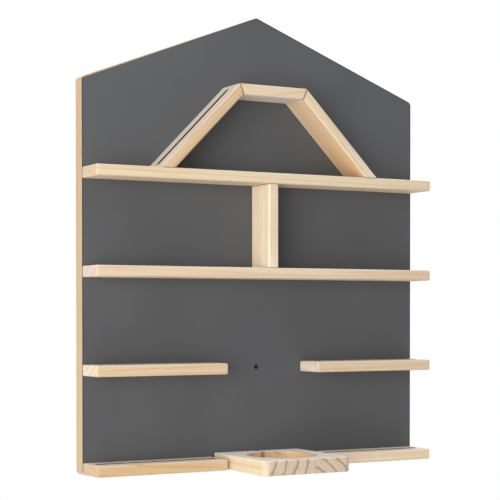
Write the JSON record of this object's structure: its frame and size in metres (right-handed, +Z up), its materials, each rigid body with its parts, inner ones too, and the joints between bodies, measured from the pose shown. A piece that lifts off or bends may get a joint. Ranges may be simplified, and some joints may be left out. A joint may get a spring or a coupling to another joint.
{
  "type": "wall shelf",
  "caption": "House-shaped wall shelf for small magnetic figures: a dark-faced gabled board with narrow wooden ledges, a roof-shaped frame and a round-recessed holder.",
  "frame": {"origin": "on the wall plane, on the vertical centre line, level with the middle of the two hangers", "axes": "+Z up, +X to the right of someone facing the shelf, +Y into the wall"},
  "size_m": [0.5, 0.1483, 0.5896],
  "materials": {
    "pine": "sanded and left almost bare",
    "board_pine": "sanded, bare edge",
    "dark_facing": "matt dark grey magnetic facing",
    "magnetic_tape": "black, semi-matt",
    "yellow_zinc": "yellow zinc plated",
    "plain_zinc": "zinc plated"
  },
  "bodies": {
    "root": {"back_board": "board_pine", "front_facing": "dark_facing", "top_shelf": "pine", "middle_shelf": "pine", "lower_shelf_left": "pine", "lower_shelf_right": "pine", "bottom_shelf_left": "pine", "bottom_shelf_right": "pine", "divider_post": "pine", "roof_slope_left": "pine", "roof_top": "pine", "roof_slope_right": "pine", "base_holder": "pine", "tape_top_shelf": "magnetic_tape", "tape_middle_shelf": "magnetic_tape", "tape_lower_shelf_left": "magnetic_tape", "tape_lower_shelf_right": "magnetic_tape", "tape_bottom_shelf_left": "magnetic_tape", "tape_bottom_shelf_right": "magnetic_tape", "tape_roof_slope_left": "magnetic_tape", "tape_roof_top": "magnetic_tape", "tape_roof_slope_right": "magnetic_tape", "screw_top_shelf_1": "yellow_zinc", "screw_top_shelf_2": "yellow_zinc", "screw_top_shelf_3": "yellow_zinc", "screw_top_shelf_4": "yellow_zinc", "screw_middle_shelf_1": "yellow_zinc", "screw_middle_shelf_2": "yellow_zinc", "screw_middle_shelf_3": "yellow_zinc", "screw_middle_shelf_4": "yellow_zinc", "screw_lower_shelf_left_1": "yellow_zinc", "screw_lower_shelf_left_2": "yellow_zinc", "screw_lower_shelf_right_1": "yellow_zinc", "screw_lower_shelf_right_2": "yellow_zinc", "screw_bottom_shelf_left_1": "yellow_zinc", "screw_bottom_shelf_left_2": "yellow_zinc", "screw_bottom_shelf_right_1": "yellow_zinc", "screw_bottom_shelf_right_2": "yellow_zinc", "screw_divider_post_1": "yellow_zinc", "screw_divider_post_2": "yellow_zinc", "screw_roof_slope_left_1": "yellow_zinc", "screw_roof_slope_left_2": "yellow_zinc", "screw_roof_top_1": "yellow_zinc", "screw_roof_top_2": "yellow_zinc", "screw_roof_slope_right_1": "yellow_zinc", "screw_roof_slope_right_2": "yellow_zinc", "screw_holder_1": "yellow_zinc", "screw_holder_2": "yellow_zinc", "screw_holder_3": "yellow_zinc", "screw_holder_4": "yellow_zinc", "hanger_left": "plain_zinc", "hanger_right": "plain_zinc", "hanger_screw_left_1": "plain_zinc", "hanger_screw_left_2": "plain_zinc", "hanger_screw_right_1": "plain_zinc", "hanger_screw_right_2": "plain_zinc"}
  },
  "joints": []
}
